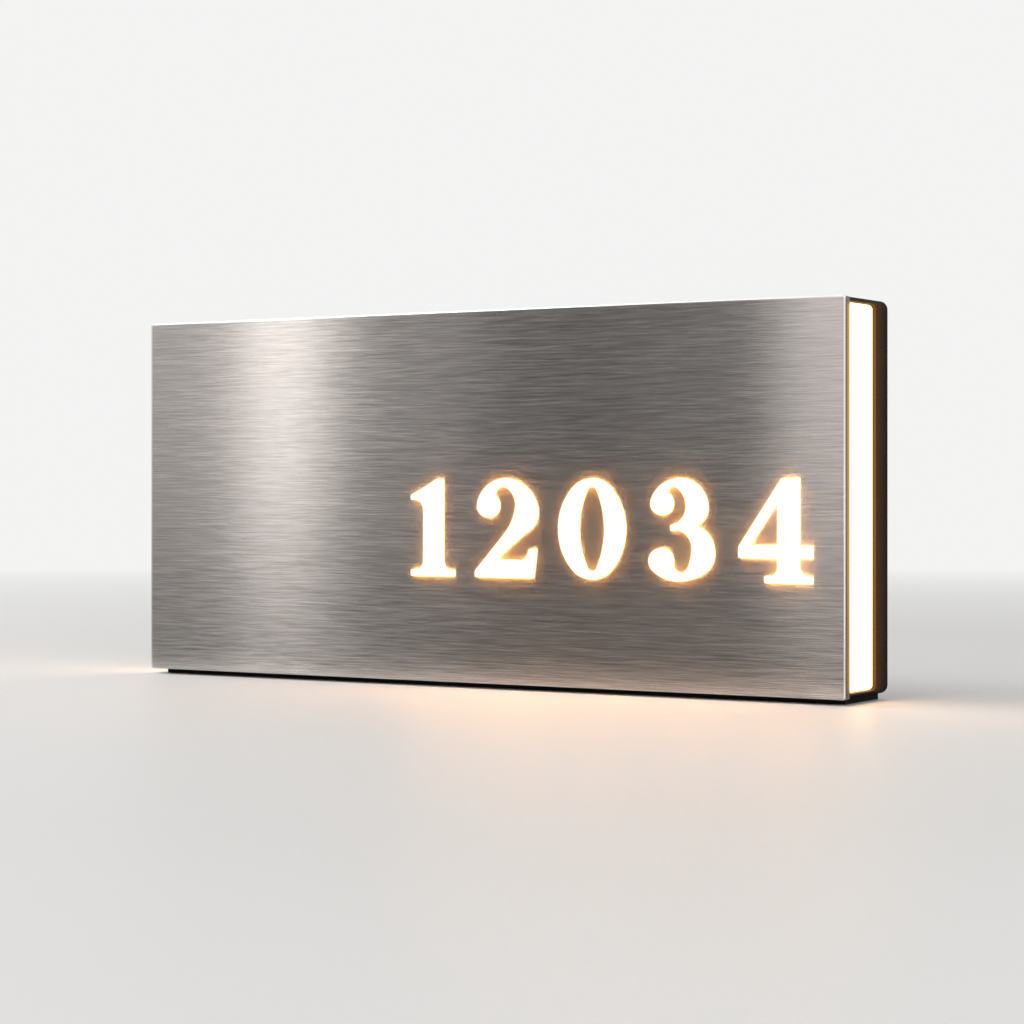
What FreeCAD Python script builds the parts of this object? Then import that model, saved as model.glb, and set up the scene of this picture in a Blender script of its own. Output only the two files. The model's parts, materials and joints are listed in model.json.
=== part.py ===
import FreeCAD, Part
import math
import os
from FreeCAD import Vector

# Illuminated house number sign, in millimetres.
# +Z is up and the steel face looks along -Y.  The origin is on the standing surface, under the middle.
# A depth is counted forward from the wall side of the sign: 0 is the back, sign_depth is the steel face.

# ---------------------------------------------------------------- overall
sign_width = 330.0
sign_height = 150.0
sign_depth = 40.0

# ---------------------------------------------------------------- steel face
sheet = 1.5                    # thickness of the stainless sheet
pan_return = 4.4               # depth of the folded sides, sheet included
pan_corner = 1.0
edge_chamfer = 0.45
tape = 0.3                     # bonding tape between the pan and the block
tape_width = 8.0
tape_margin = 3.0

# ---------------------------------------------------------------- numerals
numeral_height = 39.0
numeral_proud = 1.5            # how far the acrylic stands out of the steel
numeral_gap = 0.15             # clearance between acrylic and steel, all round
numeral_spacing = 11.5
numeral_base = 43.0            # baseline above the lower edge of the face
numeral_margin = 13.5          # from the last numeral to the right edge of the face
pad_margin = 1.2               # from the edge of an inlay to its tape pad

# ---------------------------------------------------------------- rear housing
side_wall = 1.5
rail = 1.8                     # thickness of the top and bottom walls
floor = 2.5
side_depth = 11.85             # how far forward the side walls reach
seam = 0.3                     # shadow gap between the rails and the pan
housing_corner = 3.4
rear_round = 1.2
window_lip = 0.2               # how far the window edge stands inside the rails' inner faces
window_round = 2.0
fixing_span_x = 280.0
fixing_span_z = 100.0
fixing_bore = 4.5

# ---------------------------------------------------------------- light block
slide_gap = 0.2                # between the block and the housing round it
gasket = 1.5
block_wall = 4.0
block_front = 3.5
boss_width = 9.0
boss_reach = 8.0
boss_pitch = 120.0
carrier = 1.5
carrier_front = 18.0           # depth of the carrier's front face
carrier_gap = 0.5
reflector = 0.4
insert_radius = 2.3
insert_length = 5.0
fit_gap = 0.03                 # radial clearance of threads and pressed-in pieces

# ---------------------------------------------------------------- light source
strip_count = 4
strip_width = 14.0
strip_board = 1.0
strip_end_gap = 3.5            # from a strip's end to the bosses of the side walls
strip_edge_gap = 4.5           # from the outer strips to the bosses of the long walls
led_pitch = 21.0
led_length = 3.5
led_width = 2.8
led_height = 0.7
wire_radius = 0.7
link_rise = 2.4
link_inset = 10.0              # from a strip's end to its first link wire
link_spread = 5.0
solder_inset = 3.0             # from a board's long edge to a soldered wire

# ---------------------------------------------------------------- connector
plug_inset = 47.0              # from the left end of the sign to the connector's middle
plug_width = 18.0
plug_height = 9.0
pin_radius = 0.75
pin_spacing = 7.0
pin_reach = 4.6                # how far the pins stand out of the plug
pin_tail = 1.0
contact_gap = 0.3              # between a pin and the sleeve round it
sleeve = 0.5
socket_width = 20.0
socket_height = 11.0
socket_rise = 6.0
socket_ear = 6.0
plug_clear = 0.3               # between plug and socket faces

# ---------------------------------------------------------------- modules on the housing floor
driver_step = 60.0             # from the connector's middle to the driver's
driver_length = 64.0
driver_height = 24.0
driver_rise = 11.0
driver_round = 1.5
ear_length = 7.0
ear_rise = 2.0
terminal_step = 66.0           # from the driver's middle to the terminal block's
terminal_length = 16.0
terminal_height = 18.0
terminal_rise = 10.0
pole_spacing = 8.0
pole_screw_radius = 1.5
pole_screw_inset = 4.0
funnel_radius = 1.6
funnel_depth = 3.5
lead_depth = 7.0               # depth at which the wires enter and leave the modules

# ---------------------------------------------------------------- screws
screw_radius = 1.45
screw_head_radius = 2.8
screw_head = 1.8
screw_length = 6.0
small_screw_radius = 1.2
small_head_radius = 2.2
small_head = 1.4
small_screw_bite = 1.9         # how far a small screw goes into the floor
clamp_radius = 1.5
clamp_span = 200.0
clamp_socket = 0.75
slot_width = 0.6
slot_depth = 0.6

# ---------------------------------------------------------------- cable entry, vent and foot
grommet_step = 36.0            # from the terminal block's middle to the grommet's
grommet_bore = 3.5
grommet_neck = 6.0
grommet_flange = 9.0
grommet_inside = 1.5
grommet_recess = 1.2
vent_step = 46.0               # from the grommet's middle to the vent's
vent_radius = 4.5
vent_flange = 6.5
vent_inside = 1.2
foot_height = 2.2
foot_rear_edge = 1.0           # from the housing's rear round
foot_front_edge = 3.0          # from the rails' front ends
foot_clear = 0.8               # round the lower clamp screws, which are reached through the strip

# ---------------------------------------------------------------- derived places
back_y = (sign_depth + numeral_proud) / 2.0
base_z = foot_height
mid_z = base_z + sign_height / 2.0
rail_front = sign_depth - pan_return - seam
block_rear = floor + gasket
block_face = sign_depth - sheet - tape
block_width = sign_width - 2.0 * (side_wall + slide_gap)
block_height = sign_height - 2.0 * (rail + slide_gap)
block_corner = housing_corner - side_wall
inner_width = block_width - 2.0 * block_wall
inner_height = block_height - 2.0 * block_wall
inner_face = block_face - block_front
carrier_rear = carrier_front - carrier
strip_front = carrier_front + strip_board
strip_length = inner_width - 2.0 * (boss_reach + strip_end_gap)
strip_span = inner_height - 2.0 * (boss_reach + strip_edge_gap)
strip_pitch = (strip_span - strip_width) / (strip_count - 1)
socket_front = floor + socket_rise
plug_rear = socket_front + plug_clear
plug_x = plug_inset - sign_width / 2.0
driver_x = plug_x + driver_step
terminal_x = driver_x + terminal_step
grommet_x = terminal_x + grommet_step
vent_x = grommet_x + vent_step
foot_rear = rear_round + foot_rear_edge
foot_front = rail_front - foot_front_edge
foot_length = sign_width - 2.0 * housing_corner
clamp_depth = (foot_rear + foot_front) / 2.0


def depth_y(depth):
    """Y of a plane at this depth in front of the wall side."""
    return back_y - depth


def at(x, depth, z):
    """Point at this depth, with z counted from the middle of the face."""
    return Vector(x, depth_y(depth), mid_z + z)


def block(width, height, rear, front, x=0.0, z=0.0, corner=0.0):
    """Box between two depths, centred at x and z, with its four long corners rounded."""
    corner_point = at(x - width / 2.0, front, z - height / 2.0)
    body = Part.makeBox(width, front - rear, height, corner_point)
    if corner > 0.0:
        long_edges = [edge for edge in body.Edges if abs(edge.tangentAt(edge.FirstParameter).y) > 0.99]
        body = body.makeFillet(corner, long_edges)
    return body


def rod(radius, rear, front, x=0.0, z=0.0):
    """Round bar between two depths."""
    return Part.makeCylinder(radius, front - rear, at(x, rear, z), Vector(0, -1, 0))


def edges_at(body, depth):
    """Edges that lie in the plane at this depth."""
    y = depth_y(depth)
    return [edge for edge in body.Edges
            if abs(edge.BoundBox.YMin - y) < 1e-4 and abs(edge.BoundBox.YMax - y) < 1e-4]


def joined(bodies):
    """One solid from bodies that meet."""
    whole = bodies[0]
    for body in bodies[1:]:
        whole = whole.fuse(body)
    return whole.removeSplitter()


def group(solids):
    """Separate solids kept together in one piece list."""
    return Part.makeCompound(solids)


def tube(points, radius):
    """Wire along a route of straight runs, each corner an arc as large as its two runs allow."""
    edges = []
    start = points[0]
    for before, corner, after in zip(points, points[1:], points[2:]):
        run_in = corner.sub(before)
        run_out = after.sub(corner)
        turn = run_in.getAngle(run_out)
        cut = 0.45 * min(run_in.Length, run_out.Length)
        bend = cut / math.tan(turn / 2.0)
        way_in = Vector(run_in).normalize()
        way_out = Vector(run_out).normalize()
        first = corner.sub(Vector(way_in).multiply(cut))
        last = corner.add(Vector(way_out).multiply(cut))
        inward = Vector(way_out).sub(way_in).normalize()
        centre = corner.add(Vector(inward).multiply(bend / math.cos(turn / 2.0)))
        middle = centre.sub(Vector(inward).multiply(bend))
        edges.append(Part.LineSegment(start, first).toShape())
        edges.append(Part.Arc(first, middle, last).toShape())
        start = last
    edges.append(Part.LineSegment(start, points[-1]).toShape())
    spine = Part.Wire(edges)
    heading = points[1].sub(points[0])
    profile = Part.Wire([Part.makeCircle(radius, points[0], heading)])
    return spine.makePipeShell([profile], True, False)


# ================================================================ numerals
# Each figure is drawn on a grid on which the numeral height is 100, from lines and from arcs that carry
# on in the direction of the stroke before them.

class Pen:
    """Draws a closed outline on the numeral grid, in the plane of the face."""

    def __init__(self, x, z, heading):
        self.x = x
        self.z = z
        self.heading = heading
        self.start = (x, z)
        self.edges = []

    def head(self, heading):
        """Turn on the spot, to this direction in degrees, 0 along +X and 90 up."""
        self.heading = heading
        return self

    def line(self, x, z):
        """Straight to a point."""
        self.edges.append(Part.LineSegment(Vector(self.x, 0, self.z), Vector(x, 0, z)).toShape())
        self.heading = math.degrees(math.atan2(z - self.z, x - self.x))
        self.x = x
        self.z = z
        return self

    def arc(self, x, z):
        """Round to a point, starting in the present direction."""
        chord = math.degrees(math.atan2(z - self.z, x - self.x))
        swing = (chord - self.heading + 180.0) % 360.0 - 180.0
        reach = math.hypot(x - self.x, z - self.z) / 2.0 / math.cos(math.radians(swing / 2.0))
        way = math.radians(self.heading + swing / 2.0)
        middle = Vector(self.x + reach * math.cos(way), 0, self.z + reach * math.sin(way))
        self.edges.append(Part.Arc(Vector(self.x, 0, self.z), middle, Vector(x, 0, z)).toShape())
        self.heading = self.heading + 2.0 * swing
        self.x = x
        self.z = z
        return self

    def face(self):
        """The face inside the outline, closed with a line where it is still open."""
        if math.hypot(self.x - self.start[0], self.z - self.start[1]) > 1e-6:
            self.line(*self.start)
        return Part.Face(Part.Wire(self.edges))


def oval(x, z, half_width, half_height, end_radius):
    """Upright oval of four arcs, with the smaller radius at the top and the bottom."""
    long_axis = half_width ** 2 + half_height ** 2 - 2.0 * half_height * end_radius
    side_radius = long_axis / (2.0 * (half_width - end_radius))
    share = side_radius / (side_radius - end_radius)
    meet_x = half_width - side_radius + share * (side_radius - half_width)
    meet_z = share * (half_height - end_radius)
    upper_right = Vector(x + meet_x, 0, z + meet_z)
    lower_right = Vector(x + meet_x, 0, z - meet_z)
    upper_left = Vector(x - meet_x, 0, z + meet_z)
    lower_left = Vector(x - meet_x, 0, z - meet_z)
    arcs = [Part.Arc(lower_right, Vector(x + half_width, 0, z), upper_right),
            Part.Arc(upper_right, Vector(x, 0, z + half_height), upper_left),
            Part.Arc(upper_left, Vector(x - half_width, 0, z), lower_left),
            Part.Arc(lower_left, Vector(x, 0, z - half_height), lower_right)]
    return Part.Face(Part.Wire([arc.toShape() for arc in arcs]))


def ball(x, z, radius):
    """Round end of a stroke."""
    return Part.Face(Part.Wire([Part.makeCircle(radius, Vector(x, 0, z), Vector(0, 1, 0))]))


def with_ball(outline, x, z, radius):
    """An outline with a round end added to one of its strokes."""
    return outline.fuse(ball(x, z, radius)).removeSplitter().Faces[0]


def figure_zero():
    outline = oval(37.0, 50.0, 37.0, 50.0, 28.0)
    counter = oval(37.0, 50.0, 16.5, 43.5, 9.0)
    return 74.0, outline, counter


def figure_one():
    pen = Pen(0.0, 0.0, 0.0)
    pen.line(50.0, 0.0).line(50.0, 5.5).line(46.0, 5.5).arc(36.0, 15.5).line(36.0, 100.0).line(31.0, 100.0)
    pen.head(213.0).arc(0.0, 84.0).line(0.0, 79.5).head(14.0).arc(15.5, 69.5).line(15.5, 15.5)
    pen.head(270.0).arc(5.5, 5.5).line(0.0, 5.5)
    return 50.0, pen.face(), None


def figure_two():
    pen = Pen(0.0, 0.0, 90.0)
    pen.line(0.0, 6.0).head(46.0).arc(37.0, 46.0).arc(48.5, 72.0).arc(32.0, 93.5).arc(19.5, 84.0)
    pen.line(19.5, 75.0).line(2.85, 75.9).head(75.6).arc(34.0, 100.0).arc(71.0, 71.0)
    pen.arc(62.5, 49.0).arc(21.0, 16.5).head(0.0).line(52.0, 16.5).arc(64.5, 28.5).line(70.0, 28.5)
    pen.line(66.5, 0.0)
    return 70.0, with_ball(pen.face(), 14.0, 73.0, 11.5), None


def figure_three():
    pen = Pen(3.35, 80.2, 67.4)
    pen.arc(33.0, 100.0).arc(62.5, 75.5).arc(45.0, 54.0).head(-4.0).arc(70.0, 28.0).arc(58.5, 7.5)
    pen.arc(33.0, 0.0).arc(5.15, 9.5).line(12.0, 22.0).line(23.5, 14.0).head(-62.0).arc(33.0, 6.5)
    pen.head(0.0).arc(45.5, 15.5).arc(48.5, 29.0).arc(25.0, 49.5).line(25.0, 54.5).head(5.0)
    pen.arc(42.0, 75.5).arc(28.5, 93.5).arc(19.0, 86.0).line(19.0, 78.0)
    outline = with_ball(pen.face(), 13.5, 76.0, 11.0)
    return 70.0, with_ball(outline, 12.5, 19.0, 12.0), None


def figure_four():
    pen = Pen(0.0, 24.0, 90.0)
    pen.line(0.0, 34.0).line(46.0, 100.0).line(62.0, 100.0).line(62.0, 35.0).line(76.0, 35.0)
    pen.line(76.0, 24.0).line(62.0, 24.0).line(62.0, 15.5).arc(72.0, 5.5).line(76.0, 5.5).line(76.0, 0.0)
    pen.line(28.0, 0.0).line(28.0, 5.5).line(32.0, 5.5).arc(42.0, 15.5).line(42.0, 24.0)
    counter = Pen(9.2, 35.0, 0.0).line(42.0, 35.0).line(42.0, 82.0).face()
    return 76.0, pen.face(), counter


def scaled_face(face):
    """A figure's face at its real size."""
    copy = face.copy()
    copy.scale(numeral_height / 100.0, Vector(0, 0, 0))
    return copy


def grown(face, step):
    """The same face with its outline moved outward, or inward where the step is negative."""
    return face.makeOffset2D(step)


def raised(face, x, rear, front):
    """Solid between two depths over a figure's face, whose left end is put at x."""
    solid = face.extrude(Vector(0, -(front - rear), 0))
    solid.translate(Vector(x, depth_y(rear), base_z + numeral_base))
    return solid


def numeral_row():
    """Name, left end and faces of each numeral, set from the right margin of the face."""
    figures = [("one", figure_one()), ("two", figure_two()), ("zero", figure_zero()),
               ("three", figure_three()), ("four", figure_four())]
    unit = numeral_height / 100.0
    length = sum(width * unit for _, (width, _, _) in figures) + numeral_spacing * (len(figures) - 1)
    x = sign_width / 2.0 - numeral_margin - length
    row = []
    for name, (width, outline, counter) in figures:
        counter_face = None if counter is None else scaled_face(counter)
        row.append((name, x, scaled_face(outline), counter_face))
        x += width * unit + numeral_spacing
    return row


# ================================================================ light box
def face_pan(row):
    pan_rear = sign_depth - pan_return
    shell = block(sign_width, sign_height, pan_rear, sign_depth, corner=pan_corner)
    shell = shell.makeChamfer(edge_chamfer, edges_at(shell, sign_depth))
    pocket = block(sign_width - 2.0 * sheet, sign_height - 2.0 * sheet, pan_rear, sign_depth - sheet)
    pan = shell.cut(pocket)
    for _, x, outline, _ in row:
        pan = pan.cut(raised(grown(outline, numeral_gap), x, pan_rear, sign_depth + numeral_proud))
    return pan


def numeral(x, outline, counter):
    figure = raised(outline, x, block_face, sign_depth + numeral_proud)
    if counter is not None:
        figure = figure.cut(raised(counter, x, block_face, sign_depth + numeral_proud))
    return figure


def inlay(x, counter):
    return raised(grown(counter, -numeral_gap), x, sign_depth - sheet, sign_depth)


def bonding_tape(row):
    outer_width = block_width - 2.0 * tape_margin
    outer_height = block_height - 2.0 * tape_margin
    frame = block(outer_width, outer_height, block_face, block_face + tape)
    window = block(outer_width - 2.0 * tape_width, outer_height - 2.0 * tape_width,
                   block_face, block_face + tape)
    solids = [frame.cut(window)]
    for _, x, _, counter in row:
        if counter is not None:
            solids.append(raised(grown(counter, -pad_margin), x, block_face, block_face + tape))
    return group(solids)


def boss_places():
    """Middle of each screw boss, with the direction to the wall that it stands against."""
    reach_z = inner_height / 2.0 - boss_reach / 2.0
    reach_x = inner_width / 2.0 - boss_reach / 2.0
    places = []
    for step in (-1, 0, 1):
        places.append((step * boss_pitch, reach_z, "long"))
        places.append((step * boss_pitch, -reach_z, "long"))
    places.append((reach_x, 0.0, "short"))
    places.append((-reach_x, 0.0, "short"))
    return places


def boss_column(x, z, kind, rear, front, margin=0.0):
    """Boss between two depths, widened all round by a margin."""
    wide = boss_width + 2.0 * margin
    deep = boss_reach + 2.0 * margin
    if kind == "long":
        return block(wide, deep, rear, front, x, z)
    return block(deep, wide, rear, front, x, z)


def opal_block():
    outside = block(block_width, block_height, block_rear, block_face, corner=block_corner)
    inside = block(inner_width, inner_height, block_rear, inner_face)
    body = outside.cut(inside)
    bosses = [boss_column(x, z, kind, carrier_front, inner_face) for x, z, kind in boss_places()]
    body = joined([body] + bosses)
    for x, z, _ in boss_places():
        body = body.cut(rod(insert_radius + fit_gap, carrier_front, carrier_front + insert_length, x, z))
    return body


def boss_inserts():
    inserts = []
    for x, z, _ in boss_places():
        insert = rod(insert_radius, carrier_front, carrier_front + insert_length, x, z)
        bore = rod(screw_radius + fit_gap, carrier_front, carrier_front + insert_length, x, z)
        inserts.append(insert.cut(bore))
    return group(inserts)


def lead_slot(rear, front):
    """Slot that the two leads pass through on their way to the boards."""
    slot_length = pin_spacing + 6.0 * wire_radius
    slot_height = 5.0 * wire_radius
    return block(slot_length, slot_height, rear, front, plug_x, 0.0, corner=slot_height / 2.0 - fit_gap)


def carrier_plate():
    plate = block(inner_width - 2.0 * carrier_gap, inner_height - 2.0 * carrier_gap,
                  carrier_rear, carrier_front)
    for x, z, _ in boss_places():
        plate = plate.cut(rod(screw_radius + carrier_gap, carrier_rear, carrier_front, x, z))
    return plate.cut(lead_slot(carrier_rear, carrier_front))


def pan_head_screw(radius, head_radius, head, tip, seat, x, z):
    """Screw whose head rests on a seat facing the back, with its tip further forward."""
    shank = rod(radius, seat, tip, x, z)
    cap = rod(head_radius, seat - head, seat, x, z)
    cap = cap.makeFillet(head * 0.4, edges_at(cap, seat - head))
    slot = block(2.0 * head_radius, slot_width, seat - head, seat - head + slot_depth, x, z)
    return joined([shank, cap]).cut(slot)


def carrier_screws():
    tip = carrier_rear + screw_length
    return group([pan_head_screw(screw_radius, screw_head_radius, screw_head, tip, carrier_rear, x, z)
                  for x, z, _ in boss_places()])


def strip_rows():
    """Height of each board, from the top one down."""
    return [(strip_count - 1 - 2 * index) / 2.0 * strip_pitch for index in range(strip_count)]


def led_strip(z):
    return block(strip_length, strip_width, carrier_front, strip_front, 0.0, z, corner=1.0)


def led_places():
    """Middle of each light source along a board."""
    count = int(strip_length // led_pitch)
    return [(index - (count - 1) / 2.0) * led_pitch for index in range(count)]


def led_packages():
    return group([block(led_length, led_width, strip_front, strip_front + led_height, x, z)
                  for z in strip_rows() for x in led_places()])


def reflector_sheet():
    sheet_front = carrier_front + reflector
    body = block(inner_width - 2.0 * carrier_gap, inner_height - 2.0 * carrier_gap,
                 carrier_front, sheet_front)
    for x, z, kind in boss_places():
        body = body.cut(boss_column(x, z, kind, carrier_front, sheet_front, margin=carrier_gap))
    for z in strip_rows():
        body = body.cut(block(strip_length + 2.0 * carrier_gap, strip_width + 2.0 * carrier_gap,
                              carrier_front, sheet_front, 0.0, z))
    return body.cut(lead_slot(carrier_front, sheet_front))


def strip_links():
    """Two short wires from each board to the next one down."""
    rows = strip_rows()
    top = strip_front + link_rise
    half_gap = strip_width / 2.0 - solder_inset
    links = []
    for upper, lower in zip(rows, rows[1:]):
        for index in range(2):
            x = strip_length / 2.0 - link_inset - index * link_spread
            route = [at(x, strip_front, upper - half_gap), at(x, top, upper - half_gap),
                     at(x, top, lower + half_gap), at(x, strip_front, lower + half_gap)]
            links.append(tube(route, wire_radius))
    return group(links)


def board_lead(side):
    """Lead from a pin's tail, through the carrier, to the board above the middle."""
    x = plug_x + side * pin_spacing / 2.0
    board = strip_rows()[strip_count // 2 - 1] - strip_width / 2.0 + solder_inset
    top = strip_front + 2.0 * link_rise
    route = [at(x, carrier_rear + pin_tail, 0.0), at(x, top, 0.0), at(x, top, board),
             at(x, strip_front, board)]
    return tube(route, wire_radius)


def supply_plug():
    body = block(plug_width, plug_height, plug_rear, carrier_rear, plug_x, 0.0, corner=1.0)
    for side in (-1, 1):
        x = plug_x + side * pin_spacing / 2.0
        body = body.cut(rod(pin_radius + fit_gap, plug_rear, carrier_rear, x))
    return body


def plug_pins():
    pins = []
    for side in (-1, 1):
        x = plug_x + side * pin_spacing / 2.0
        pin = rod(pin_radius, plug_rear - pin_reach, carrier_rear + pin_tail, x)
        pins.append(pin.makeChamfer(pin_radius * 0.4, edges_at(pin, plug_rear - pin_reach)))
    return group(pins)


# ================================================================ rear housing
def side_windows():
    """Opening between the rails, through both side walls, with rounded rear corners."""
    height = sign_height - 2.0 * (rail + window_lip)
    opening = block(sign_width, height, side_depth, sign_depth)
    rear_edges = [edge for edge in edges_at(opening, side_depth) if abs(edge.tangentAt(0).x) > 0.99]
    return opening.makeFillet(window_round, rear_edges)


def floor_screw_places():
    """Where a small screw goes into the housing's floor, and the depth that its head rests on."""
    ear = driver_length / 2.0 + ear_length / 2.0
    socket_ear_x = socket_width / 2.0 + socket_ear / 2.0
    return [(driver_x - ear, 0.0, floor + ear_rise), (driver_x + ear, 0.0, floor + ear_rise),
            (plug_x - socket_ear_x, 0.0, floor + ear_rise), (plug_x + socket_ear_x, 0.0, floor + ear_rise),
            (terminal_x, 0.0, floor + terminal_rise / 2.0)]


def rear_housing():
    outside = block(sign_width, sign_height, 0.0, rail_front, corner=housing_corner)
    outside = outside.makeFillet(rear_round, edges_at(outside, 0.0))
    pocket = block(sign_width - 2.0 * side_wall, sign_height - 2.0 * rail, floor, rail_front,
                   corner=housing_corner - side_wall)
    body = outside.cut(pocket).cut(side_windows())
    for x in (-fixing_span_x / 2.0, fixing_span_x / 2.0):
        for z in (-fixing_span_z / 2.0, fixing_span_z / 2.0):
            body = body.cut(rod(fixing_bore / 2.0, 0.0, floor, x, z))
    body = body.cut(rod(grommet_neck + fit_gap, 0.0, floor, grommet_x))
    body = body.cut(rod(grommet_flange + fit_gap, 0.0, grommet_recess, grommet_x))
    body = body.cut(rod(vent_radius + fit_gap, 0.0, floor, vent_x))
    for x, z, _ in floor_screw_places():
        body = body.cut(rod(small_screw_radius + fit_gap, floor - small_screw_bite, floor, x, z))
    for x, z, way in clamp_places():
        body = body.cut(clamp_bore(x, z, way))
    return body


def clamp_places():
    """Middle of each clamp screw's outer end, and the direction in which it points."""
    reach = sign_height / 2.0
    return [(x, way * -reach, way) for x in (-clamp_span / 2.0, clamp_span / 2.0) for way in (-1, 1)]


def clamp_bore(x, z, way):
    return Part.makeCylinder(clamp_radius + fit_gap, rail, at(x, clamp_depth, z), Vector(0, 0, way))


def clamp_screws():
    """Grub screws through the rails, whose tips press on the block."""
    screws = []
    length = rail + slide_gap - fit_gap
    for x, z, way in clamp_places():
        screw = Part.makeCylinder(clamp_radius, length, at(x, clamp_depth, z), Vector(0, 0, way))
        hexagon = [at(x + clamp_socket * math.cos(math.radians(60 * corner)),
                      clamp_depth + clamp_socket * math.sin(math.radians(60 * corner)), z)
                   for corner in range(7)]
        socket = Part.Face(Part.makePolygon(hexagon)).extrude(Vector(0, 0, way * length / 2.0))
        screws.append(screw.cut(socket))
    return group(screws)


def rim_gasket():
    ring = block(block_width, block_height, floor, block_rear, corner=block_corner)
    return ring.cut(block(inner_width, inner_height, floor, block_rear))


def foot_strip():
    """Rubber strip under the lower rail, with a hole below each of its clamp screws."""
    strip = Part.makeBox(foot_length, foot_front - foot_rear, foot_height,
                         Vector(-foot_length / 2.0, depth_y(foot_front), 0))
    for x, _, way in clamp_places():
        if way > 0:
            place = Vector(x, depth_y(clamp_depth), 0)
            strip = strip.cut(Part.makeCylinder(clamp_radius + foot_clear, foot_height, place))
    return strip


def module_ear(x, width, height):
    """Fixing ear on the floor, with its screw hole."""
    ear = block(width, height, floor, floor + ear_rise, x, 0.0)
    return ear.cut(rod(small_screw_radius + slide_gap, floor, floor + ear_rise, x))


def driver_module():
    case = block(driver_length, driver_height, floor, floor + driver_rise, driver_x, 0.0)
    case = case.makeFillet(driver_round, edges_at(case, floor + driver_rise))
    reach = driver_length / 2.0 + ear_length / 2.0
    ears = [module_ear(driver_x + side * reach, ear_length, driver_height / 3.0) for side in (-1, 1)]
    return joined([case] + ears)


def supply_socket():
    body = block(socket_width, socket_height, floor, socket_front, plug_x, 0.0, corner=1.0)
    reach = socket_width / 2.0 + socket_ear / 2.0
    ears = [module_ear(plug_x + side * reach, socket_ear, socket_height / 1.5) for side in (-1, 1)]
    body = joined([body] + ears)
    for x in contact_places():
        body = body.cut(rod(sleeve_radius() + fit_gap, floor, socket_front, x))
    return body


def contact_places():
    return [plug_x + side * pin_spacing / 2.0 for side in (-1, 1)]


def sleeve_radius():
    return pin_radius + contact_gap + sleeve


def socket_contacts():
    sleeves = []
    for x in contact_places():
        outside = rod(sleeve_radius(), floor, socket_front, x)
        pin_way = rod(pin_radius + contact_gap, plug_rear - pin_reach - contact_gap, socket_front, x)
        sleeves.append(outside.cut(pin_way))
    return group(sleeves)


def pole_places():
    """Middle of each clamping screw on the terminal block."""
    reach = terminal_length / 2.0 - pole_screw_inset
    return [(terminal_x + side * reach, pole * pole_spacing / 2.0) for side in (-1, 1) for pole in (-1, 1)]


def terminal_block():
    top = floor + terminal_rise
    body = block(terminal_length, terminal_height, floor, top, terminal_x, 0.0)
    body = body.makeFillet(0.8, edges_at(body, top))
    seat = floor + terminal_rise / 2.0
    body = body.cut(rod(small_screw_radius + slide_gap, floor, seat, terminal_x))
    body = body.cut(rod(small_head_radius + slide_gap, seat, top, terminal_x))
    for x, z in pole_places():
        body = body.cut(rod(pole_screw_radius + fit_gap, top - terminal_rise / 3.0, top, x, z))
    for pole in (-1, 1):
        mouth = at(terminal_x + terminal_length / 2.0 - funnel_depth, lead_depth, pole * pole_spacing / 2.0)
        body = body.cut(Part.makeCylinder(funnel_radius, funnel_depth, mouth, Vector(1, 0, 0)))
    return body


def terminal_screws():
    top = floor + terminal_rise
    screws = []
    for x, z in pole_places():
        screw = rod(pole_screw_radius, top - terminal_rise / 3.0, top - slot_depth, x, z)
        slot = block(2.0 * pole_screw_radius, slot_width, top - 2.0 * slot_depth, top - slot_depth, x, z)
        screws.append(screw.cut(slot))
    return group(screws)


def module_screws():
    """Small screws that point back into the floor."""
    screws = []
    for x, z, seat in floor_screw_places():
        shank = rod(small_screw_radius, floor - small_screw_bite, seat, x, z)
        cap = rod(small_head_radius, seat, seat + small_head, x, z)
        cap = cap.makeFillet(small_head * 0.4, edges_at(cap, seat + small_head))
        slot = block(2.0 * small_head_radius, slot_width, seat + small_head - slot_depth,
                     seat + small_head, x, z)
        screws.append(joined([shank, cap]).cut(slot))
    return group(screws)


def floor_leads(pole):
    """One polarity: terminal block to driver, and driver to socket, bowed away from the fixing screws."""
    bow = pole * driver_height / 3.0
    near = pole * pole_spacing / 2.0
    driver_left = driver_x - driver_length / 2.0
    driver_right = driver_x + driver_length / 2.0
    terminal_left = terminal_x - terminal_length / 2.0
    socket_right = plug_x + socket_width / 2.0
    routes = []
    for start, end, end_z in ((terminal_left, driver_right, bow), (driver_left, socket_right, near / 1.5)):
        start_z = near if start == terminal_left else bow
        third = (end - start) / 3.0
        routes.append([at(start, lead_depth, start_z), at(start + third, lead_depth, start_z),
                       at(end - third, lead_depth, end_z), at(end, lead_depth, end_z)])
    return group([tube(route, wire_radius) for route in routes])


def cable_grommet():
    """Rubber grommet: outer flange flush with the back, neck through the floor, flange inside."""
    front = floor + grommet_inside
    outer = rod(grommet_flange, 0.0, grommet_recess, grommet_x)
    neck = rod(grommet_neck, 0.0, front, grommet_x)
    inner = rod(grommet_flange, floor, front, grommet_x)
    inner = inner.makeFillet(grommet_inside * 0.6, edges_at(inner, front))
    return joined([outer, neck, inner]).cut(rod(grommet_bore, 0.0, front, grommet_x))


def vent_plug():
    plug = rod(vent_radius, 0.0, floor, vent_x)
    flange = rod(vent_flange, floor, floor + vent_inside, vent_x)
    flange = flange.makeChamfer(vent_inside / 3.0, edges_at(flange, floor + vent_inside))
    return joined([plug, flange])


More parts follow.
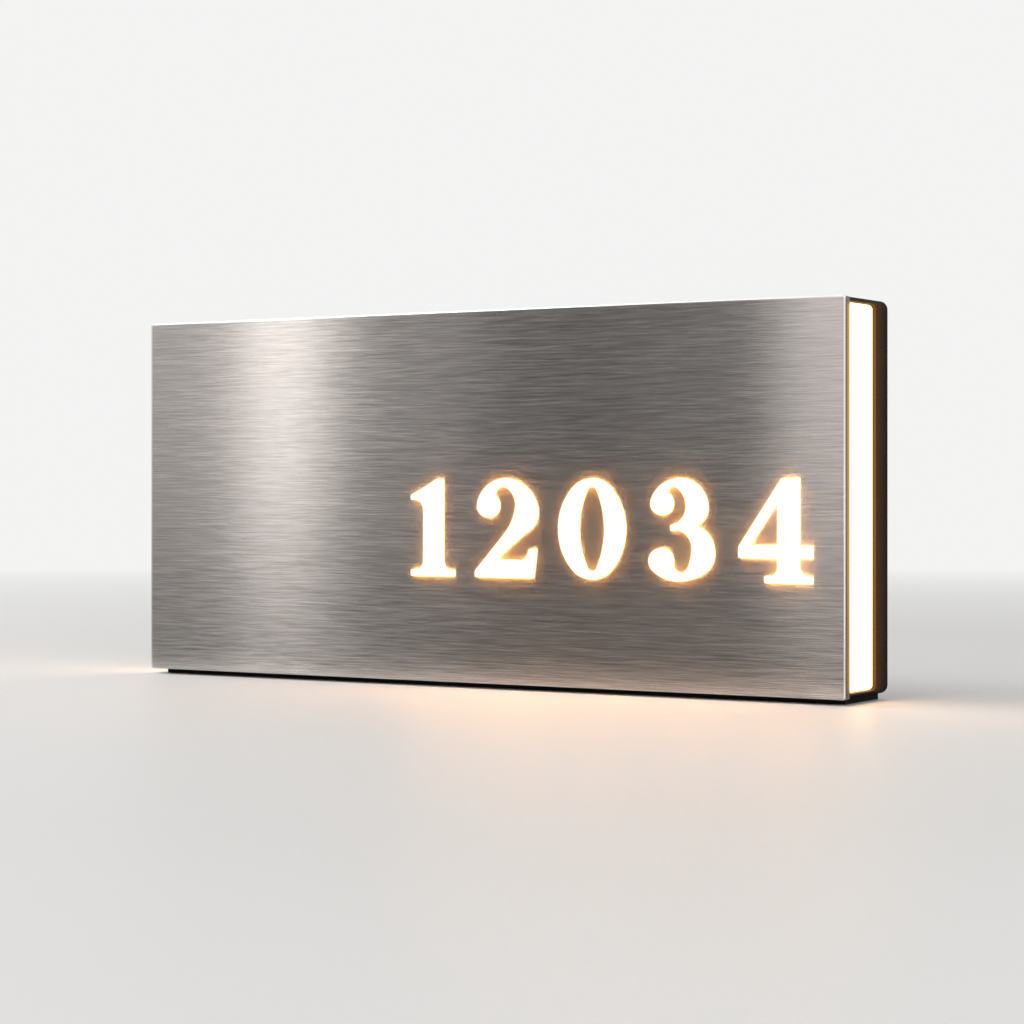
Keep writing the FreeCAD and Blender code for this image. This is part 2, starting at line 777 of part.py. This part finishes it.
# ================================================================ assembly
def all_pieces():
    """Every piece of the sign, by name."""
    row = numeral_row()
    pieces = {"face_pan": face_pan(row), "bonding_tape": bonding_tape(row)}
    for name, x, outline, counter in row:
        pieces["numeral_" + name] = numeral(x, outline, counter)
        if counter is not None:
            pieces["inlay_" + name] = inlay(x, counter)
    pieces["opal_block"] = opal_block()
    pieces["boss_inserts"] = boss_inserts()
    pieces["carrier_plate"] = carrier_plate()
    pieces["carrier_screws"] = carrier_screws()
    pieces["reflector_sheet"] = reflector_sheet()
    for name, z in zip(("top", "upper", "lower", "bottom"), strip_rows()):
        pieces["led_strip_" + name] = led_strip(z)
    pieces["led_packages"] = led_packages()
    pieces["strip_links"] = strip_links()
    pieces["board_lead_positive"] = board_lead(1)
    pieces["board_lead_negative"] = board_lead(-1)
    pieces["supply_plug"] = supply_plug()
    pieces["plug_pins"] = plug_pins()
    pieces["rear_housing"] = rear_housing()
    pieces["rim_gasket"] = rim_gasket()
    pieces["clamp_screws"] = clamp_screws()
    pieces["foot_strip"] = foot_strip()
    pieces["driver_module"] = driver_module()
    pieces["terminal_block"] = terminal_block()
    pieces["terminal_screws"] = terminal_screws()
    pieces["module_screws"] = module_screws()
    pieces["positive_leads"] = floor_leads(1)
    pieces["negative_leads"] = floor_leads(-1)
    pieces["supply_socket"] = supply_socket()
    pieces["socket_contacts"] = socket_contacts()
    pieces["cable_grommet"] = cable_grommet()
    pieces["vent_plug"] = vent_plug()
    return pieces


os.makedirs("parts", exist_ok=True)
for piece_name, piece in all_pieces().items():
    piece.exportStep(os.path.join("parts", piece_name + ".step"))
    print(piece_name, len(piece.Solids), round(piece.Volume, 3), piece.isValid())
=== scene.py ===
import json
import math
import bpy
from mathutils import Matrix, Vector


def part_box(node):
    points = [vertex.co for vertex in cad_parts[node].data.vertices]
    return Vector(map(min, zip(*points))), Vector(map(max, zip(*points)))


# Finishes, studio and camera for a lit house number sign.  Metres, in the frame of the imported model: +Z is
# up, the steel face looks along -Y and the sign stands on Z = 0.
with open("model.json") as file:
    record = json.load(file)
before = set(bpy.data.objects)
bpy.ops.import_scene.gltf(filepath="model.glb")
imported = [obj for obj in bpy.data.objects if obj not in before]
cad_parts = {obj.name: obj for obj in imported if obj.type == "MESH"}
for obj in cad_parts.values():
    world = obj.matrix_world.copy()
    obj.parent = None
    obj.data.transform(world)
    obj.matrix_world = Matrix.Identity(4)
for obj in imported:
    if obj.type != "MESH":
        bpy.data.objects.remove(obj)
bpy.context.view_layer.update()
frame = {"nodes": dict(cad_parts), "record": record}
nodes = frame["nodes"]

HOUSING_SIDE_DEPTH = 0.01185   # how far forward the housing's side walls reach
HOUSING_SIDE_WALL = 0.0016     # their thickness, and a little more

face_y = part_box("inlay_zero")[0].y          # plane of the steel face
side_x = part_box("face_pan")[1].x            # plane of the pan's right side
return_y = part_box("face_pan")[1].y          # rear edge of the pan's folded sides
top_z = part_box("face_pan")[1].z             # top of the face
middle_z = (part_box("face_pan")[0].z + top_z) / 2.0
block_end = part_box("opal_block")[1].z - middle_z
window_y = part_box("rear_housing")[1].y - HOUSING_SIDE_DEPTH
window_x = side_x - HOUSING_SIDE_WALL

# ---------------------------------------------------------------- colours
STEEL = (0.61, 0.583, 0.56)
# painted highlight colour for the face's left and top edges and its chamfer
HIGHLIGHT_STEEL = (0.97, 0.955, 0.935)
# painted shade on the steel's folded sides
SHADED_SIDE_STEEL = (0.085, 0.046, 0.020)
# painted shade on the folded sides beyond the light block's top and bottom
SHADED_END_STEEL = (0.15, 0.135, 0.12)
# painted amber light from the block on the rear part of the folded sides
PAINTED_AMBER_LIGHT = (0.88, 0.43, 0.12)
OPAL = (0.96, 0.93, 0.86)
BLOCK_LIGHT = (1.0, 0.60, 0.26)
NUMERAL_LIGHT = (1.0, 0.54, 0.22)
EDGE_LIGHT = (1.0, 0.43, 0.10)              # from the sides of the numerals, where they stand out
BLOCK_POWER = 3.0
FACE_POWER = 3.9
EDGE_POWER = 30.0
PACKAGE_LIGHT = (1.0, 0.56, 0.20)
POWDER = (0.0080, 0.0062, 0.0048)
# painted amber light from the block on the housing's side walls
PAINTED_GLOW_POWDER = (0.085, 0.040, 0.009)
# lighter, warmer colour painted on the windows' edges, where the block's real light also falls
PAINTED_RIM_GLOW_POWDER = (0.10, 0.065, 0.030)
POWDER_DULL = 0.03             # how much the powder coat mirrors on its sides,
POWDER_SATIN = 0.40            # and on its back and top
BACKDROP = (0.90, 0.90, 0.895)
FLOOR = (0.80, 0.795, 0.785)

# ---------------------------------------------------------------- painted highlights and painted light on the metal and the coat
LEFT_HIGHLIGHT = 0.0011             # painted highlight down the left edge of the face
TOP_HIGHLIGHT = 0.0008              # painted highlight along its top edge
GLOW_STRIP = 0.0036            # rear part of the folded sides, where amber light from the block is painted,
SOFT_EDGE = 0.0004             # and the band at their rear edge where the painted light is at full strength
END_FADE = 0.0020              # length over which it fades, at the block's top and bottom
GLOW_REACH = 0.0100            # how far the painted amber light reaches on the housing's side walls, behind the block
WINDOW_ROUND = 0.0021          # depth of the windows' rounded rear corners


# ================================================================ materials
class Finish:
    """A node material: one Principled shader and the textures that feed it."""

    def __init__(self, name, colour, roughness, **constants):
        self.material = bpy.data.materials.new(name)
        self.material.use_nodes = True
        self.tree = self.material.node_tree
        self.shader = self.tree.nodes["Principled BSDF"]
        self.colour = colour
        self.roughness = roughness
        self.shader.inputs["Base Color"].default_value = (*colour, 1.0)
        self.shader.inputs["Roughness"].default_value = roughness
        for socket, value in constants.items():
            self.shader.inputs[socket.capitalize()].default_value = value

    def node(self, kind, inputs=None, **settings):
        """Adds a node.  An input that is a socket is linked, and any other value is set."""
        node = self.tree.nodes.new("ShaderNode" + kind)
        for name, value in settings.items():
            setattr(node, name, value)
        for name, value in (inputs or {}).items():
            self.feed(node.inputs[name], value)
        return node

    def feed(self, socket, value):
        if isinstance(value, bpy.types.NodeSocket):
            self.tree.links.new(value, socket)
        else:
            socket.default_value = value

    def coordinates(self, kind="Object"):
        return self.node("TexCoord").outputs[kind]

    def noise(self, size, detail=2.0, seed=(0.0, 0.0, 0.0)):
        """Noise from about 0 to 1, whose grains are this big along X, Y and Z."""
        place = self.node("Mapping", {"Vector": self.coordinates(), "Location": seed,
                                      "Scale": tuple(1.0 / step for step in size)})
        texture = self.node("TexNoise", {"Vector": place.outputs["Vector"], "Scale": 1.0, "Detail": detail})
        return self.between(texture.outputs["Fac"], (0.3, 0.7), (0.0, 1.0))

    def between(self, value, source, target):
        """A value carried from one range to another, and held there."""
        return self.node("MapRange", {"Value": value, "From Min": source[0], "From Max": source[1],
                                      "To Min": target[0], "To Max": target[1]}).outputs["Result"]

    def sum(self, *shares):
        """Weighted sum of (value, weight) pairs."""
        total = 0.0
        for value, weight in shares:
            total = self.node("Math", {0: value, 1: weight, 2: total},
                              operation="MULTIPLY_ADD").outputs["Value"]
        return total

    def math(self, operation, *values):
        return self.node("Math", dict(enumerate(values)), operation=operation).outputs["Value"]

    def parts(self, vector):
        """The X, Y and Z of a vector."""
        return self.node("SeparateXYZ", {"Vector": vector}).outputs

    def mixed(self, factor, first, second):
        """A colour between two colours."""
        blend = self.node("Mix", {"Factor": factor}, data_type="RGBA")
        ends = [socket for socket in blend.inputs if socket.type == "RGBA"]
        for socket, value in zip(ends, (first, second)):
            self.feed(socket, value if isinstance(value, bpy.types.NodeSocket) else (*value, 1.0))
        return [socket for socket in blend.outputs if socket.type == "RGBA"][0]

    def shaded(self, colour, marks, contrast):
        """A colour that marks from 0 to 1 darken and lighten."""
        shade = self.between(marks, (0.0, 1.0), (1.0 - contrast, 1.0 + contrast))
        return self.node("VectorMath", {0: colour, "Scale": shade}, operation="SCALE").outputs["Vector"]

    def vary(self, marks, contrast, roughness_step=0.0):
        """Lets marks from 0 to 1 darken and lighten the colour, and change the roughness."""
        self.feed(self.shader.inputs["Base Color"], self.shaded(self.colour, marks, contrast))
        if roughness_step:
            spread = (self.roughness - roughness_step, self.roughness + roughness_step)
            self.feed(self.shader.inputs["Roughness"], self.between(marks, (0.0, 1.0), spread))
        return self

    def tint(self, mask, colour):
        """Gives the surface another colour where the mask is 1."""
        base = self.shader.inputs["Base Color"]
        below = base.links[0].from_socket if base.is_linked else self.colour
        self.feed(base, self.mixed(mask, below, colour))
        return self

    def relief(self, marks, depth, strength=1.0):
        """Raises the surface by this depth where the marks are 1."""
        bump = self.node("Bump", {"Height": marks, "Distance": depth, "Strength": strength})
        self.feed(self.shader.inputs["Normal"], bump.outputs["Normal"])
        return self

    def dull(self, level):
        """Sets how much the surface mirrors."""
        self.shader.inputs["Specular IOR Level"].default_value = level
        return self

    def glow(self, colour, strength):
        self.shader.inputs["Emission Color"].default_value = (*colour, 1.0)
        self.shader.inputs["Emission Strength"].default_value = strength
        return self

    def show(self, surface):
        """Puts another shader on the surface in place of the Principled one."""
        self.feed(self.tree.nodes["Material Output"].inputs["Surface"], surface)


def cube(size):
    return (size, size, size)


def grained(name, colour, roughness, grain, depth, contrast=0.12, **constants):
    """Moulded, coated or cast surface: fine grains over broad soft patches."""
    finish = Finish(name, colour, roughness, **constants)
    fine = finish.noise(cube(grain), detail=3.0)
    broad = finish.noise(cube(grain * 24.0), detail=1.0)
    marks = finish.sum((fine, 0.7), (broad, 0.3))
    return finish.vary(marks, contrast, roughness * 0.18).relief(fine, depth)


def brushed_steel():
    """Fine brushing along X, painted highlights on the face's left and top edges and its chamfer, and folded
    sides painted dark, with painted amber light from the block on their rear part.
    """
    finish = Finish("brushed_steel", STEEL, 0.17, metallic=0.87, anisotropic=1.0)
    hair = finish.noise((0.012, 0.012, 0.00021), detail=1.0)
    line = finish.noise((0.019, 0.019, 0.00033), detail=1.0, seed=(3.1, 0.4, 7.7))
    sweep = finish.noise((0.250, 0.250, 0.0030), detail=1.0, seed=(9.2, 5.0, 1.3))
    marks = finish.sum((hair, 0.45), (line, 0.50), (sweep, 0.05))
    finish.vary(marks, 0.28, 0.03).relief(hair, 0.000004)
    tangent = finish.node("Tangent", direction_type="RADIAL", axis="X")
    finish.feed(finish.shader.inputs["Tangent"], tangent.outputs["Tangent"])
    place = finish.parts(finish.coordinates())
    facing = finish.parts(finish.coordinates("Normal"))
    slanted = finish.math("COMPARE", finish.math("ABSOLUTE", facing["Y"]), math.sqrt(0.5), 0.1)
    chamfer = finish.math("MULTIPLY", slanted, finish.math("GREATER_THAN", facing["Z"], -0.3))
    # painted highlights: lines along the face's left and top edges, and on its chamfer
    left_highlight = finish.math("LESS_THAN", place["X"], LEFT_HIGHLIGHT - side_x)
    top_highlight = finish.math("GREATER_THAN", place["Z"], top_z - TOP_HIGHLIGHT)
    lines = finish.math("MAXIMUM", left_highlight, top_highlight)
    finish.tint(finish.math("MAXIMUM", chamfer, lines), HIGHLIGHT_STEEL)
    # painted amber light from the block on the rear part of the folded sides, fading out at the block's ends
    glow_spill = finish.between(place["Y"], (return_y - GLOW_STRIP, return_y - SOFT_EDGE), (0.0, 1.0))
    height = finish.math("ABSOLUTE", finish.math("SUBTRACT", place["Z"], middle_z))
    end = finish.between(height, (block_end - END_FADE, block_end), (0.0, 1.0))
    # the folded sides are painted dark as painted shade, with the painted amber light at their rear
    side = finish.math("GREATER_THAN", finish.math("ABSOLUTE", facing["X"]), 0.8)
    return finish.tint(side, finish.mixed(end, finish.mixed(glow_spill, SHADED_SIDE_STEEL, PAINTED_AMBER_LIGHT), SHADED_END_STEEL))


def black_powder():
    """Fine black powder coat, dull beside the light block, with painted amber light there and a lighter,
    warmer colour painted on the windows' edges, where the block's real light also falls.
    """
    finish = grained("black_powder", POWDER, 0.55, 0.00045, 0.00003, 0.2)
    place = finish.parts(finish.coordinates())
    facing = finish.parts(finish.coordinates("Normal"))
    outward = finish.math("MAXIMUM", facing["Y"], facing["Z"])
    mirroring = finish.between(outward, (0.90, 0.99), (POWDER_DULL, POWDER_SATIN))
    finish.feed(finish.shader.inputs["Specular IOR Level"], mirroring)
    # painted amber light from the block on the housing's side walls, fading away behind the window
    side = finish.math("GREATER_THAN", finish.math("ABSOLUTE", facing["X"]), 0.8)
    glow_spill = finish.between(place["Y"], (window_y, window_y + GLOW_REACH), (1.0, 0.0))
    finish.tint(finish.math("MULTIPLY", side, glow_spill), PAINTED_GLOW_POWDER)
    # the windows' edges get a lighter, warmer painted colour so that the block's real light shows warm on
    # them: painted light over real light
    in_side_wall = finish.math("GREATER_THAN", finish.math("ABSOLUTE", place["X"]), window_x)
    at_window = finish.math("MULTIPLY", in_side_wall,
                            finish.math("LESS_THAN", place["Y"], window_y + WINDOW_ROUND))
    inward = finish.math("MULTIPLY", finish.math("SUBTRACT", middle_z, place["Z"]), facing["Z"])
    edge = finish.math("MAXIMUM", finish.math("GREATER_THAN", inward, 0.01),
                       finish.math("LESS_THAN", facing["Y"], -0.5))
    return finish.tint(finish.math("MULTIPLY", at_window, edge), PAINTED_RIM_GLOW_POWDER)


def lit_acrylic(name, light, strength):
    finish = Finish(name, OPAL, 0.28)
    clouds = finish.noise(cube(0.012))
    return finish.vary(clouds, 0.02, 0.04).glow(light, strength)


def lit_numerals():
    """Acrylic whose narrow sides give more light, and a deeper colour, than its face."""
    finish = lit_acrylic("numeral_lit", NUMERAL_LIGHT, FACE_POWER)
    facing = finish.parts(finish.coordinates("Normal"))
    side = finish.math("LESS_THAN", finish.math("ABSOLUTE", facing["Y"]), 0.5)
    finish.feed(finish.shader.inputs["Emission Color"], finish.mixed(side, NUMERAL_LIGHT, EDGE_LIGHT))
    power = finish.between(side, (0.0, 1.0), (FACE_POWER, EDGE_POWER))
    finish.feed(finish.shader.inputs["Emission Strength"], power)
    return finish


def sheet_metal(name, colour, roughness, grain, **constants):
    """Rolled or plated metal: fine lines along X, and faint patches."""
    finish = Finish(name, colour, roughness, metallic=1.0, **constants)
    lines = finish.noise((grain * 30.0, grain * 8.0, grain), detail=2.0)
    patches = finish.noise(cube(grain * 40.0), detail=2.0, seed=(2.0, 8.0, 4.0))
    marks = finish.sum((lines, 0.6), (patches, 0.4))
    return finish.vary(marks, 0.12, roughness * 0.3).relief(lines, grain * 0.02)


def make_finishes():
    """A material for each slot of the record."""
    return {
        "brushed_steel": brushed_steel(),
        "opal_lit": lit_acrylic("opal_lit", BLOCK_LIGHT, BLOCK_POWER),
        "numeral_lit": lit_numerals(),
        "black_powder": black_powder(),
        "black_rubber": grained("black_rubber", (0.010, 0.010, 0.010), 0.8, 0.0006, 0.00003, 0.25).dull(0.1),
        "black_foam": grained("black_foam", (0.03, 0.03, 0.03), 0.9, 0.0009, 0.00012, 0.35),
        "foam_tape": grained("foam_tape", (0.82, 0.81, 0.78), 0.7, 0.0006, 0.00002, 0.05),
        "plain_aluminium": sheet_metal("plain_aluminium", (0.78, 0.78, 0.79), 0.34, 0.0005),
        "plated_steel": sheet_metal("plated_steel", (0.70, 0.70, 0.70), 0.24, 0.0003),
        "brass": sheet_metal("brass", (0.72, 0.55, 0.27), 0.28, 0.0003),
        "white_film": grained("white_film", (0.93, 0.93, 0.92), 0.6, 0.0008, 0.00001, 0.03),
        "board_white": grained("board_white", (0.90, 0.91, 0.89), 0.35, 0.0012, 0.00001, 0.04),
        "led_yellow": grained("led_yellow", (0.93, 0.78, 0.30), 0.4, 0.0003, 0.00001, 0.08)
                      .glow(PACKAGE_LIGHT, 1.0),
        "wire_white": grained("wire_white", (0.85, 0.85, 0.83), 0.5, 0.0007, 0.00001, 0.05),
        "wire_red": grained("wire_red", (0.55, 0.04, 0.03), 0.5, 0.0007, 0.00001, 0.1),
        "wire_black": grained("wire_black", (0.025, 0.025, 0.025), 0.5, 0.0007, 0.00001, 0.2),
        "connector_white": grained("connector_white", (0.86, 0.85, 0.80), 0.45, 0.0006, 0.00001, 0.04),
        "driver_case": grained("driver_case", (0.12, 0.12, 0.13), 0.5, 0.0004, 0.00002, 0.12),
        "terminal_grey": grained("terminal_grey", (0.45, 0.46, 0.47), 0.45, 0.0006, 0.00001, 0.06),
        "vent_grey": grained("vent_grey", (0.30, 0.31, 0.32), 0.5, 0.0005, 0.00001, 0.08),
    }


def dress():
    """Gives every node the finish of its slot."""
    finishes = make_finishes()
    for subpart in frame["record"]["subparts"]:
        piece = nodes[subpart["node"]]
        for place in piece.material_slots:
            place.material = finishes[subpart["material_slot"]].material


# ================================================================ camera
CAMERA_PLACE = Vector((0.5658, face_y - 0.8814, 0.0806))
CAMERA_AZIMUTH = math.radians(31.75)        # to the right of straight in front of the face
CAMERA_LENS = 91.4             # millimetres, on a sensor 36 mm wide
CAMERA_SHIFT = -0.0231         # raises the sign in the picture, with the camera kept level


def make_camera():
    data = bpy.data.cameras.new("camera")
    data.sensor_width = 36.0
    data.lens = CAMERA_LENS
    data.shift_y = CAMERA_SHIFT
    data.clip_start = 0.01
    camera = bpy.data.objects.new("camera", data)
    camera.location = CAMERA_PLACE
    camera.rotation_euler = (math.radians(90.0), 0.0, CAMERA_AZIMUTH)
    bpy.context.scene.collection.objects.link(camera)
    bpy.context.scene.camera = camera


# ================================================================ studio
CARD_CORNERS = ((0.31, -0.05), (-0.13, -1.52), (-1.50, -1.45), (-1.75, -0.50), (-0.75, -0.05))
CARD_HEIGHT = 1.6              # of its upright part, which stands on the second to fourth corner
CARD_LIFT = 0.0006             # from the floor to the part that lies on it
CARD_LEVEL = 0.035             # its light, so that it isn't quite black
STRIP_Y = -1.20                # the strip lamps stand in one plane, in front of the card
STRIP_FOOT = 0.02
STRIP_HEIGHT = 1.30
STRIP_LIGHT = (1.0, 0.955, 0.94)
STRIP_TURN = (math.radians(90.0), 0.0, 0.0)   # upright, shining along +Y
# name, place of the middle along X, width, light
STRIPS = (
    ("strip_left", -0.985, 0.09, 2.2),
    ("strip_wide", -1.075, 0.35, 0.6),
    ("strip_soft", -0.83, 0.15, 0.2),
    ("strip_right", -0.32, 0.24, 1.0),
    ("strip_faint", -0.51, 0.14, 0.10),
)
FLOOR_REACH = 6.0
FLOOR_FADE = (0.45, 1.6)       # distances from the sign between which the floor turns into backdrop
AMBIENT_LIGHT = (1.0, 0.99, 0.975)
AMBIENT_LEVEL = 0.42
# name, place, size, power
SOFT_BOXES = (
    ("key", (-0.95, -0.55, 1.35), (1.1, 0.9), 13.0),
    ("fill", (1.35, -0.9, 0.9), (0.9, 0.9), 5.0),
)
SOFT_BOX_TARGET = (0.0, 0.0, 0.07)


def mesh_object(name, points, faces):
    mesh = bpy.data.meshes.new(name)
    mesh.from_pydata(points, [], faces)
    piece = bpy.data.objects.new(name, mesh)
    bpy.context.scene.collection.objects.link(piece)
    return piece


def only_in_reflections(piece):
    piece.visible_camera = False
    piece.visible_diffuse = False
    piece.visible_shadow = False
    piece.visible_transmission = False
    piece.visible_volume_scatter = False


def dark_card():
    """Dark card on the floor and upright behind the strip lamps, seen only in reflections."""
    finish = Finish("dark_card", (0.0, 0.0, 0.0), 1.0)
    light = finish.node("Emission", {"Strength": CARD_LEVEL})
    clear = finish.node("BsdfTransparent")
    behind = finish.node("NewGeometry").outputs["Backfacing"]
    finish.show(finish.node("MixShader", {"Fac": behind, 1: light.outputs["Emission"],
                                          2: clear.outputs["BSDF"]}).outputs["Shader"])
    points = [(x, y, CARD_LIFT) for x, y in CARD_CORNERS]
    points += [(x, y, CARD_HEIGHT) for x, y in CARD_CORNERS[1:4]]
    card = mesh_object("dark_card", points, [(4, 3, 2, 1, 0), (1, 2, 6, 5), (2, 3, 7, 6)])
    card.data.materials.append(finish.material)
    only_in_reflections(card)


def floor_material():
    """Pale satin floor that fades into the backdrop far away."""
    finish = grained("floor", FLOOR, 0.5, 0.004, 0.00004, 0.015)
    away = finish.node("VectorMath", {0: finish.coordinates()}, operation="LENGTH").outputs["Value"]
    far = finish.between(away, FLOOR_FADE, (0.0, 1.0))
    backdrop = finish.node("Emission", {"Color": (*BACKDROP, 1.0), "Strength": 1.0})
    finish.show(finish.node("MixShader", {"Fac": far, 1: finish.shader.outputs["BSDF"],
                                          2: backdrop.outputs["Emission"]}).outputs["Shader"])
    return finish.material


def make_floor():
    signs = ((-1.0, -1.0), (1.0, -1.0), (1.0, 1.0), (-1.0, 1.0))
    corners = [(x * FLOOR_REACH, y * FLOOR_REACH, 0.0) for x, y in signs]
    floor = mesh_object("floor", corners, [(0, 1, 2, 3)])
    floor.data.materials.append(floor_material())


def make_world():
    """Pale backdrop for what is seen, directly or in a reflection, and a softer level of light."""
    world = bpy.data.worlds.new("studio")
    world.use_nodes = True
    tree = world.node_tree
    tree.nodes.clear()
    path = tree.nodes.new("ShaderNodeLightPath")
    seen = path.outputs["Is Camera Ray"]
    for ray in ("Is Glossy Ray", "Is Transmission Ray"):
        most = tree.nodes.new("ShaderNodeMath")
        most.operation = "MAXIMUM"
        tree.links.new(seen, most.inputs[0])
        tree.links.new(path.outputs[ray], most.inputs[1])
        seen = most.outputs["Value"]
    shown = tree.nodes.new("ShaderNodeBackground")
    shown.inputs["Color"].default_value = (*BACKDROP, 1.0)
    ambient = tree.nodes.new("ShaderNodeBackground")
    ambient.inputs["Color"].default_value = (*AMBIENT_LIGHT, 1.0)
    ambient.inputs["Strength"].default_value = AMBIENT_LEVEL
    blend = tree.nodes.new("ShaderNodeMixShader")
    output = tree.nodes.new("ShaderNodeOutputWorld")
    tree.links.new(seen, blend.inputs["Fac"])
    tree.links.new(ambient.outputs["Background"], blend.inputs[1])
    tree.links.new(shown.outputs["Background"], blend.inputs[2])
    tree.links.new(blend.outputs["Shader"], output.inputs["Surface"])
    bpy.context.scene.world = world


def lamp(name, place, turn, size, power, colour=(1.0, 1.0, 1.0)):
    data = bpy.data.lights.new(name, "AREA")
    data.shape = "RECTANGLE"
    data.size, data.size_y = size
    data.energy = power
    data.color = colour
    piece = bpy.data.objects.new(name, data)
    piece.location = place
    piece.rotation_euler = turn
    piece.visible_camera = False
    bpy.context.scene.collection.objects.link(piece)


def make_lights():
    """Two soft boxes aimed at the sign, and tall plain strip lamps that its face mirrors."""
    for name, place, size, power in SOFT_BOXES:
        aim = (Vector(SOFT_BOX_TARGET) - Vector(place)).to_track_quat("-Z", "Y")
        lamp(name, place, aim.to_euler(), size, power)
    for name, x, width, level in STRIPS:
        place = (x, STRIP_Y, STRIP_FOOT + STRIP_HEIGHT / 2.0)
        power = level * math.pi * width * STRIP_HEIGHT
        lamp(name, place, STRIP_TURN, (width, STRIP_HEIGHT), power, STRIP_LIGHT)


dress()
make_camera()
make_world()
make_floor()
make_lights()
dark_card()
bpy.context.scene.view_settings.view_transform = "Standard"
